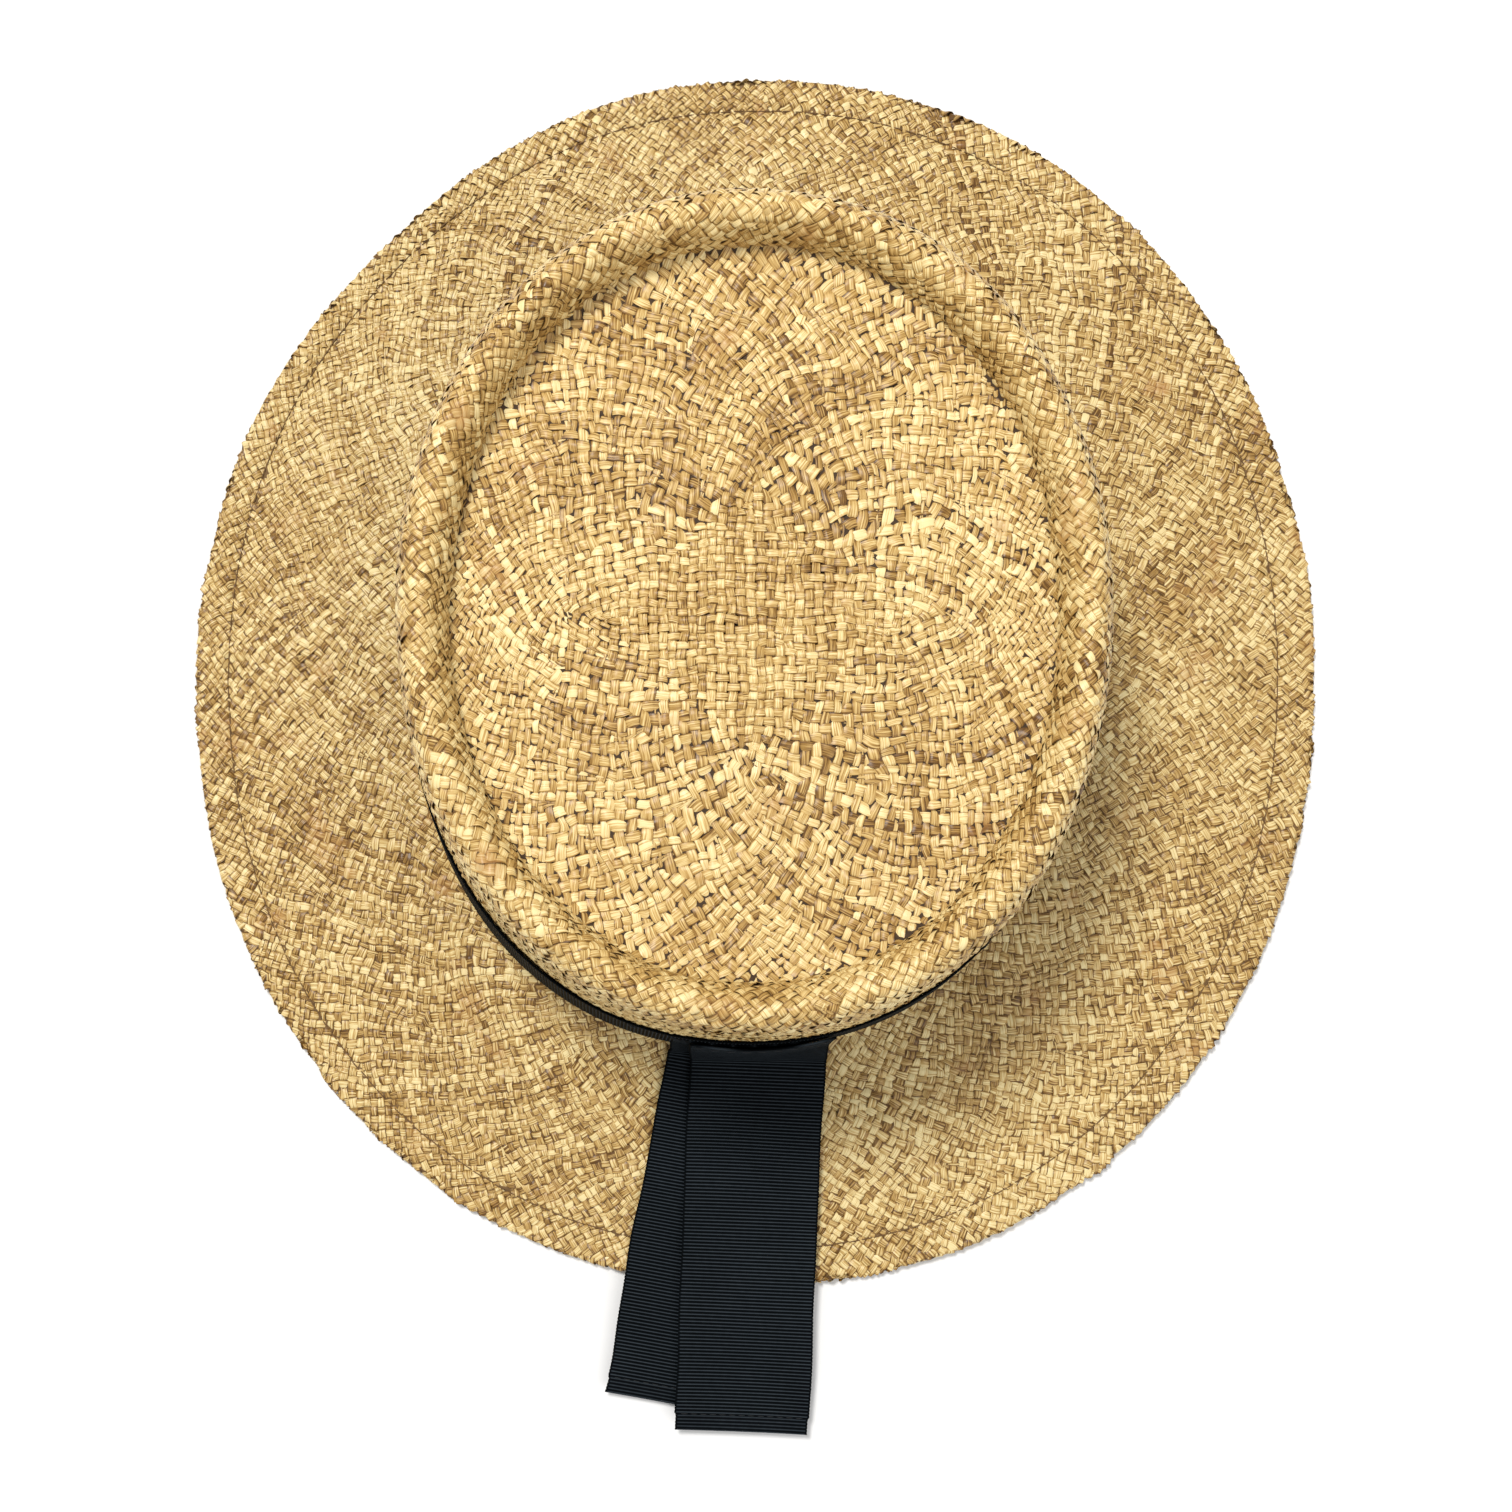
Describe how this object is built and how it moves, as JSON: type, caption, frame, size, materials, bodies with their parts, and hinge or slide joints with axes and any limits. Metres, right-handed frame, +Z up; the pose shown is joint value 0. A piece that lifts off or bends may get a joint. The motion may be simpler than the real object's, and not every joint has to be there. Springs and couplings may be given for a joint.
{
  "type": "straw sun hat",
  "caption": "Woven straw hat with an oval, flat-tipped crown, a rolled ridge, a wide hemmed brim and a ribbon band whose tails fall over the back.",
  "frame": {"origin": "centre of the head opening, on the surface that the hat stands on", "axes": "+Z up through the crown, -Y to the front, +Y to the back where the ribbon tails fall"},
  "size_m": [0.3049, 0.3703, 0.0905],
  "materials": {
    "straw": "plain-woven natural straw, satin strands from cream to tan",
    "straw_hem": "the same woven straw, turned under",
    "hem_thread": "thin brown sewing thread",
    "ribbon": "near-black grosgrain ribbon with crosswise ribs",
    "ribbon_thread": "black sewing thread",
    "sweatband_cotton": "cream woven cotton tape",
    "label_cloth": "blank white satin label"
  },
  "bodies": {
    "hat": {"crown_tip": "straw", "crown_ridge": "straw", "crown_wall": "straw", "brim": "straw", "brim_hem": "straw_hem", "hem_stitching": "hem_thread", "hat_band": "ribbon", "band_tacks": "ribbon_thread", "tail_lower_root": "ribbon", "tail_upper_root": "ribbon", "tail_root_stitching": "ribbon_thread", "sweatband": "sweatband_cotton", "sweatband_reed": "ribbon", "sweatband_stitching": "hem_thread", "sweatband_bow": "ribbon", "size_label": "label_cloth"},
    "lower_tail": {"tail_lower": "ribbon", "tail_lower_hem": "ribbon", "tail_lower_stitching": "ribbon_thread"},
    "upper_tail": {"tail_upper": "ribbon", "tail_upper_hem": "ribbon", "tail_upper_stitching": "ribbon_thread"}
  },
  "joints": [
    {"name": "lower_tail_lift", "type": "hinge", "parent": "hat", "child": "lower_tail", "pos_m": [0, 0.10465, 0.0126], "axis": [1, 0, 0], "range_deg": [0, 60]},
    {"name": "upper_tail_lift", "type": "hinge", "parent": "lower_tail", "child": "upper_tail", "pos_m": [0, 0.10465, 0.0126], "axis": [1, 0, 0], "range_deg": [0, 25]}
  ]
}
